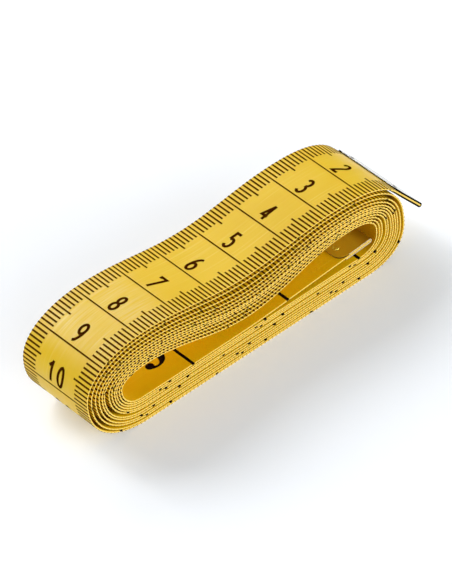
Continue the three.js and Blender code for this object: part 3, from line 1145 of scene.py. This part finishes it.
@dataclass
class Scale:
    """A printed scale on one face of the tape."""

    tape: Tape
    face: Face
    low: float = -0.020 * MM
    high: float = 0.012 * MM
    margin: float = 0.05 * MM
    run_over: float = 0.06 * MM

    def press(self, stamp: Stamp, at: np.ndarray) -> Surface:
        """Presses copies of a stamp on the tape.

        On the centimetre face the text's up runs towards the outer end and its right towards the viewer. On
        the inch face its right runs towards the inner end and its up away from the viewer.

        Args:
            stamp: The printed shape.
            at: Distance along the tape and place across it of each copy, copies by 2.

        Returns:
            All the copies as one surface.
        """
        right, up, above = stamp.points.T
        side = self.face.value
        if self.face is Face.CENTIMETRES:
            distance, across = at[:, :1] + up, at[:, 1:] - right
        else:
            distance, across = at[:, :1] - right, at[:, 1:] + up
        points = self.tape.place(distance, across, side * (self.tape.thickness / 2.0 + above))
        shifts = np.arange(len(at))[:, None, None] * len(stamp.points)
        groups = [((faces[None] + shifts).reshape(-1, faces.shape[1]), Slot.FACE) for faces in stamp.groups]
        return Surface(points.reshape(-1, 3), groups)

    def bar(self, along: float, across: float) -> Stamp:
        """A straight printed bar of a size along and across the tape, about its middle."""
        wide, tall = (across, along) if self.face is Face.CENTIMETRES else (along, across)
        outline = np.array([(-wide, -tall), (wide, -tall), (wide, tall), (-wide, tall)]) / 2.0
        return Stamp.outline(outline, self.low, self.high)

    def edge_marks(self, distance: np.ndarray, along: float, length: float) -> list[Surface]:
        """Marks that start at both edges of the tape, with the ink that ran over each cut edge.

        Args:
            distance: Distance of each mark along the tape.
            along: Size of a mark along the tape.
            length: Its length across the tape.

        Returns:
            The marks at each edge, then the ink over that edge.
        """
        rim = self.tape.width / 2.0
        surfaces = []
        for side in (-1.0, 1.0):
            middle = np.full(len(distance), side * (rim - self.margin - length / 2.0))
            surfaces.append(self.press(self.bar(along, length), np.column_stack([distance, middle])))
            over = self.bar(along, self.margin + self.high)
            over = Stamp(np.where(over.points == self.low, -self.run_over, over.points), over.groups)
            middle = np.full(len(distance), side * (rim + (self.high - self.margin) / 2.0))
            surfaces.append(self.press(over, np.column_stack([distance, middle])))
        return surfaces

    def numbers(self, stamps: dict[str, Stamp], spacing: float, values: np.ndarray,
                at: np.ndarray) -> list[Surface]:
        """Numbers, one surface for each numeral in each place of the number.

        Args:
            stamps: The numerals.
            spacing: Distance between the middles of neighbouring numerals.
            values: The numbers.
            at: Distance along the tape and place across it of each number's foot, numbers by 2.

        Returns:
            The surfaces.
        """
        surfaces = []
        words = [str(value) for value in values]
        for size in sorted({len(word) for word in words}):
            for slot in range(size):
                right = (slot - (size - 1) / 2.0) * spacing
                for numeral, stamp in stamps.items():
                    chosen = [len(word) == size and word[slot] == numeral for word in words]
                    if any(chosen):
                        surfaces.append(self.press(stamp.shifted(right), at[np.array(chosen)]))
        return surfaces


@dataclass
class CentimetreScale(Scale):
    """Millimetre ticks on both edges, a line across at each centimetre, and its number before the line."""

    face: Face = Face.CENTIMETRES
    centimetre: float = 10.0 * MM
    rounding: float = 1e-6
    tick_length: float = 3.85 * MM
    half_length: float = 4.85 * MM
    tick_width: float = 0.40 * MM
    line_width: float = 0.35 * MM
    number_foot: float = 0.70 * MM
    numerals: PlainNumerals = field(default_factory=PlainNumerals)

    def ticks(self, start: float, stop: float) -> Surface:
        """Ticks and lines whose distances from the tape's outer end lie between two limits."""
        first, last = np.ceil(start / MM - self.rounding), np.floor(stop / MM + self.rounding)
        millimetres = np.arange(int(first), int(last) + 1)
        half_width = self.tape.width / 2.0 - self.margin
        surfaces = []
        for chosen, width, length in (
                (millimetres % 5 != 0, self.tick_width, self.tick_length),
                (millimetres % 10 == 5, self.tick_width, self.half_length),
                (millimetres % 10 == 0, self.line_width, half_width)):
            surfaces += self.edge_marks(self.tape.length - millimetres[chosen] * MM, width, length)
        return Surface.together([surface for surface in surfaces if len(surface.points)])

    def labels(self, start: float, stop: float) -> Surface:
        """Numbers whose centimetre lines lie between two distances from the tape's outer end."""
        first, last = np.ceil(start / self.centimetre), np.floor(stop / self.centimetre)
        values = np.arange(int(first), int(last) + 1)
        foot = self.tape.length - values * self.centimetre + self.number_foot + self.numerals.stroke / 2.0
        at = np.column_stack([foot, np.zeros(len(values))])
        return Surface.together(self.numbers(self.numerals.stamps(), self.numerals.spacing, values, at))


@dataclass
class InchScale(Scale):
    """A bar at each inch, from each edge, and its large number before the bar."""

    face: Face = Face.INCHES
    inch: float = 25.4 * MM
    zero: float = 2.41 * MM
    run_over: float = 0.20 * MM
    bar_width: float = 0.68 * MM
    bar_length: float = 6.0 * MM
    number_gap: float = 4.95 * MM
    numerals: BookNumerals = field(default_factory=BookNumerals)

    def inches(self, start: float, stop: float) -> np.ndarray:
        """Inches whose bars lie between two distances from the tape's inner end."""
        first, last = (start + self.zero) / self.inch, (stop + self.zero) / self.inch
        return np.arange(int(np.ceil(first)), int(np.floor(last)) + 1)

    def bars(self, start: float, stop: float) -> Surface:
        """Bars between two distances from the tape's inner end."""
        distance = self.inches(start, stop) * self.inch - self.zero
        return Surface.together(self.edge_marks(distance, self.bar_width, self.bar_length))

    def labels(self, start: float, stop: float) -> Surface:
        """Numbers between two distances from the tape's inner end."""
        values = self.inches(start, stop)
        distance = (values - 1) * self.inch - self.zero + self.number_gap
        across = np.full(len(values), -self.numerals.height / 2.0)
        at = np.column_stack([distance, across])
        return Surface.together(self.numbers(self.numerals.stamps(), self.numerals.spacing, values, at))


@dataclass
class Ribbon:
    """The printed tape: its wound length and its two free ends, each with its own print."""

    tape: Tape
    outer_bend: float = 1.25 * MM
    inner_bend: float = 6.0 * MM
    under_tip: float = 8.0 * MM
    centimetre_clearance: float = 5.0 * MM
    inch_clearance: float = 12.0 * MM
    crease: float = 50.0
    cloth: list[Finish] = field(default_factory=lambda: [CLOTH, CLOTH_EDGE, INCH_CLOTH, CLOTH_EDGE])

    def along_end(self, end: End, length: float) -> Triple:
        """A place on a free end at a length from its hinge."""
        frame = self.tape.end_frame(end)
        return tuple(frame.hinge + length * frame.along)

    def build(self) -> None:
        """Builds the wound length, then the outer and the inner free ends."""
        centimetres, inches = CentimetreScale(self.tape), InchScale(self.tape)
        self.build_coil(centimetres, inches)
        self.build_ends(centimetres, inches)

    def build_coil(self, centimetres: CentimetreScale, inches: InchScale) -> None:
        """Builds the wound length with its print, which rides on the roll.

        Args:
            centimetres: The scale on its outer face.
            inches: The scale on its inner face.
        """
        tape = self.tape
        coil = tape.ribbon(tape.inner_hinge, tape.outer_hinge).piece("coil_ribbon", self.cloth, self.crease)
        near, far = tape.length - tape.outer_hinge, tape.length - tape.inner_hinge
        centimetre_start = near + self.centimetre_clearance
        inch_start = tape.inner_hinge + self.inch_clearance
        prints = [
            centimetres.ticks(near, far).piece("coil_centimetre_ticks", [TICK_INK]),
            centimetres.labels(centimetre_start, far).piece("coil_centimetre_numbers", [BROWN_INK]),
            inches.bars(tape.inner_hinge, tape.outer_hinge).piece("coil_inch_bars", [BLACK_INK]),
            inches.labels(inch_start, tape.outer_hinge).piece("coil_inch_numbers", [BLACK_INK]),
        ]
        for piece in (coil, *prints):
            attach(piece, "roll")
        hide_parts("tape_coil")
        tape.outer_hinge - tape.inner_hinge

    def build_ends(self, centimetres: CentimetreScale, inches: InchScale) -> None:
        """Builds the two free ends with their print where the tape lies, and hides the model's ends.

        Args:
            centimetres: The scale on their outer face.
            inches: The scale on their inner face.
        """
        tape = self.tape
        whole = tape.length
        near, far = whole - tape.outer_hinge, whole - tape.inner_hinge
        outer = tape.ribbon(tape.outer_hinge, whole - tape.tip_inset).piece(
            "outer_end_ribbon", self.cloth, self.crease)
        outer_print = centimetres.ticks(self.under_tip, near).piece("outer_end_ticks", [TICK_INK])
        inner = tape.ribbon(tape.tip_inset, tape.inner_hinge).piece(
            "inner_end_ribbon", self.cloth, self.crease)
        inner_print = inches.bars(self.under_tip, tape.inner_hinge).piece("inner_end_bars", [BLACK_INK])
        inner_ticks = centimetres.ticks(far, whole - self.under_tip).piece("inner_end_ticks", [TICK_INK])
        for piece in (outer, outer_print):
            self.along_end(End.OUTER, 0.0)
            self.along_end(End.OUTER, self.outer_bend)
            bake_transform(piece)
        for piece in (inner, inner_print, inner_ticks):
            self.along_end(End.INNER, 0.0)
            self.along_end(End.INNER, self.inner_bend)
            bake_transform(piece)
        for piece, node, with_pieces, length in (
                (outer, "tape_outer_end", [outer_print], near),
                (inner, "tape_inner_end", [inner_print, inner_ticks], tape.inner_hinge)):
            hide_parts(node)


# Radius and height of a dished rivet head from its middle to its rim, as shares of its size
RIVET_HEAD = np.array([(0.0, 0.30), (0.18, 0.33), (0.38, 0.70), (0.55, 1.0), (0.70, 0.98), (0.86, 0.72),
                       (0.96, 0.32), (1.0, 0.0)])


@dataclass
class EndTip:
    """A sheet metal tip folded round a free end, held by two rivets near its open edge."""

    name: str
    frame: EndFrame
    width: float
    sheet: float
    plating: Finish
    side_edge: Finish
    open_edge: Finish
    length: float = 8.75 * MM
    half_height: float = 0.53 * MM
    edge_radius: float = 0.05 * MM
    rim_share: float = 0.55
    corner_radius: float = 2.2 * MM
    margin: float = 0.15 * MM
    edge_share: float = 0.25
    edge_crowding: float = 1.6
    edge_steps: int = 10
    run_share: float = 0.2
    run_steps: int = 8
    fold_steps: int = 17
    rivet_setback: float = 2.05 * MM
    rivet_inset: float = 3.5 * MM
    rivet_radius: float = 0.77 * MM
    rivet_height: float = 0.17 * MM
    rivet_sink: float = 0.01 * MM
    shank_radius: float = 0.6 * MM
    shank_sink: float = 0.03 * MM
    rivet_steps: int = 28
    crease: float = 50.0

    def cover(self) -> Surface:
        """The folded sheet: a thin section carried from one open edge, round the fold, to the other.

        Rings crowd towards an open edge. There the half width falls short by the corner radius less the
        height of a quarter circle, and the sheet thins to a share of itself to round its rim. Each ring
        stands off the tip's middle plane along a lean, which turns by half a circle round the fold.
        """
        straight = self.length - self.half_height
        crowded = np.linspace(0.0, self.edge_share, self.edge_steps) ** self.edge_crowding
        spread = np.concatenate([crowded, np.linspace(self.run_share, 1.0, self.run_steps)])
        run = np.unique(np.round(spread, 6)) * straight
        fold = np.linspace(90.0, -90.0, self.fold_steps)[1:-1]
        reach = np.concatenate([run, np.full(len(fold), straight), run[::-1]])[:, None]
        lean = np.concatenate([np.full(len(run), 90.0), fold, np.full(len(run), -90.0)])[:, None]
        lean = np.radians(lean)
        short = np.minimum(reach, self.corner_radius)
        cut = self.corner_radius - np.sqrt(self.corner_radius ** 2 - (self.corner_radius - short) ** 2)
        rim = np.clip(self.rim_share + (1.0 - self.rim_share) * short / self.edge_radius, 0.0, 1.0)
        section = Section(self.width, self.sheet, self.edge_radius, margin=self.margin)
        side, level = section.outline().T
        off = self.half_height - self.sheet / 2.0 + level * rim
        places = self.frame.place(self.frame.length - self.length + reach + off * np.cos(lean),
                                  side * (1.0 - cut / (self.width / 2.0)), off * np.sin(lean))
        near_edge = (short < self.corner_radius)[:-1]
        slots = section.slots()
        slots = np.where(near_edge & (slots == Slot.CUT_EDGE.value), Slot.END.value, slots)
        return Surface.carried(places, slots)

    def rivet(self, across: float) -> Surface:
        """A rivet: a dished head above and below the tip, joined by its shank, turned about its axis."""
        head = RIVET_HEAD * np.array([self.rivet_radius, self.rivet_height])
        head[:, 1] += self.half_height - self.rivet_sink
        shank = np.array([[self.shank_radius, self.half_height - self.shank_sink]])
        upper = np.concatenate([head, shank])
        profile = np.concatenate([upper, upper[::-1] * np.array([1.0, -1.0])])
        turned = Surface.turned(profile, self.rivet_steps)
        setback = self.frame.length - self.length + self.rivet_setback
        x, y, z = turned.points.T
        return Surface(self.frame.place(setback + x, across + y, z), turned.groups)

    def build(self) -> None:
        """Builds the cover and its near and far rivets."""
        finishes = [self.plating, self.side_edge, self.plating, self.open_edge]
        cover = self.cover().piece(f"{self.name}_tip_cover", finishes, self.crease)
        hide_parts(f"{self.name}_tip")
        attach(cover, self.name)
        inset = self.width / 2.0 - self.rivet_inset
        for side, across in (("near", -inset), ("far", inset)):
            label = self.name.split("_")[0]
            rivet = self.rivet(across).piece(f"{label}_rivet_head_{side}", [self.plating], self.crease)
            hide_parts(f"{label}_rivet_{side}")
            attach(rivet, self.name)


def direction(heading: float, elevation: float) -> Vector:
    """The way at a heading from +Y towards +X and at an elevation above the floor, both in degrees."""
    turn, rise = np.radians([heading, elevation])
    return Vector((np.sin(turn) * np.cos(rise), np.cos(turn) * np.cos(rise), np.sin(rise)))


@dataclass(frozen=True)
class SoftBox:
    """A studio light: a glowing panel that faces the roll."""

    name: str
    heading: float
    elevation: float
    distance: float
    size: Pair
    power: float
    colour: Triple = (1.0, 1.0, 1.0)

    def hang(self, target: Vector) -> None:
        """Hangs the light at its heading and elevation from the target, and turns it to face it."""
        away = direction(self.heading, self.elevation)
        lamp = bpy.data.lights.new(self.name, "AREA")
        lamp.shape = "RECTANGLE"
        lamp.size, lamp.size_y = self.size
        lamp.energy = self.power
        lamp.color = self.colour
        obj = bpy.data.objects.new(self.name, lamp)
        obj.location = target + away * self.distance
        obj.rotation_euler = (-away).to_track_quat("-Z", "Y").to_euler()
        bpy.context.scene.collection.objects.link(obj)


@dataclass(frozen=True)
class Studio:
    """Camera, floor, light panels and the room's glow."""

    focus: Triple = (-0.44 * MM, -1.5 * MM, 10.0 * MM)
    distance: float = 1.2134
    heading: float = 36.33
    elevation: float = 41.83
    roll: float = 6.72
    focal_pixels: float = 6000.0
    image_height: int = 584
    sensor: float = 36.0
    sight: float = 20.0
    floor_size: float = 3.0
    floor_lines: int = 9
    floor_finish: WhiteFloor = WhiteFloor()
    glow_colour: Colour = (1.0, 1.0, 1.0, 1.0)
    glow_high: float = 0.21
    glow_low: float = 0.38
    glow_edges: Pair = (0.30, 0.62)
    panels: tuple[SoftBox, ...] = (
        SoftBox("back_left_panel", -20.0, 31.0, 1.0, (0.5, 0.4), 3.9),
        SoftBox("back_middle_panel", 4.0, 33.0, 1.0, (0.5, 0.4), 2.2),
        SoftBox("back_right_panel", 28.0, 33.0, 1.0, (0.5, 0.4), 1.8),
        SoftBox("high_panel", -8.0, 50.0, 1.0, (0.3, 0.2), 1.8),
        SoftBox("front_panel", 200.0, 28.0, 1.0, (0.7, 0.4), 3.5, (0.96, 0.98, 1.0)),
        SoftBox("side_panel", 150.0, 13.0, 1.0, (0.7, 0.3), 6.0, (0.96, 0.98, 1.0)),
    )

    def camera(self) -> None:
        """Sets the camera at the photograph's angle, turned clockwise about its axis by the roll."""
        roll = np.radians(self.roll)
        forward = direction(self.heading, -self.elevation)
        level = direction(self.heading + 90.0, 0.0)
        upright = level.cross(forward)
        right = level * np.cos(roll) - upright * np.sin(roll)
        up = upright * np.cos(roll) + level * np.sin(roll)
        lens = bpy.data.cameras.new("photo_camera")
        lens.sensor_width = self.sensor
        lens.lens = self.focal_pixels * self.sensor / self.image_height
        lens.clip_end = self.sight
        obj = bpy.data.objects.new("photo_camera", lens)
        turn = Matrix((right, up, -forward)).transposed().to_4x4()
        obj.matrix_world = Matrix.Translation(Vector(self.focus) - forward * self.distance) @ turn
        bpy.context.scene.collection.objects.link(obj)
        bpy.context.scene.camera = obj

    def floor(self, level: float) -> None:
        """Lays the floor: a square grid at one height."""
        lines = np.linspace(-self.floor_size / 2.0, self.floor_size / 2.0, self.floor_lines)
        x, y = np.meshgrid(lines, lines)
        points = np.column_stack([x.ravel(), y.ravel(), np.full(x.size, level)])
        here = np.arange(x.size).reshape(x.shape)
        corners = here[:-1, :-1], here[:-1, 1:], here[1:, 1:], here[1:, :-1]
        quads = np.stack(corners, axis=-1).reshape(-1, 4)
        Surface(points, [(quads, Slot.FACE)]).piece("floor", [self.floor_finish])

    def light(self) -> None:
        """Hangs the panels, lets the room glow, more near the horizon, and shows colours plainly."""
        scene = bpy.context.scene
        for panel in self.panels:
            panel.hang(Vector(self.focus))
        scene.world = bpy.data.worlds.new("studio_glow")
        scene.world.use_nodes = True
        shader = Shader(scene.world.node_tree)
        *_, height = shader.parts(shader.node("ShaderNodeTexCoord").outputs["Generated"])
        rise = height.step(*self.glow_edges)
        strength = self.glow_low + (self.glow_high - self.glow_low) * rise
        glow = shader.node("ShaderNodeBackground", inputs={"Color": self.glow_colour, "Strength": strength})
        shader.node("ShaderNodeOutputWorld", inputs={"Surface": glow.outputs[0]})
        scene.view_settings.view_transform = "Standard"


def main(studio: Studio = Studio()) -> None:
    """Loads the frame, builds the studio, the tape and its tips.

    Args:
        studio: The camera, floor and light to show them in.
    """
    logging.basicConfig(level=logging.INFO)
    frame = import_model()
    low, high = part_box("tape_coil")
    hinges = {joint["name"]: joint["pos_m"] for joint in frame["joints"]}
    tape = Tape(Winding(hinges["inner_end_lift"][0]), high[1] - low[1])
    studio.camera()
    studio.light()
    studio.floor(low[2])
    Ribbon(tape).build()
    # Each tip's plating, side edges and open edge; their colours hold painted shade, reflection and
    # highlight
    for end, sheet, finishes in (
            (End.OUTER, 0.36 * MM, (PLATING, DARK_EDGE, DARK_EDGE)),
            (End.INNER, 0.27 * MM, (YELLOW_REFLECTION_PLATING, BRIGHT_EDGE, BROWN_EDGE))):
        near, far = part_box(f"{end.value}_tip")
        EndTip(end.value, tape.end_frame(end), far[1] - near[1], sheet, *finishes).build()


if __name__ == "__main__":
    main()
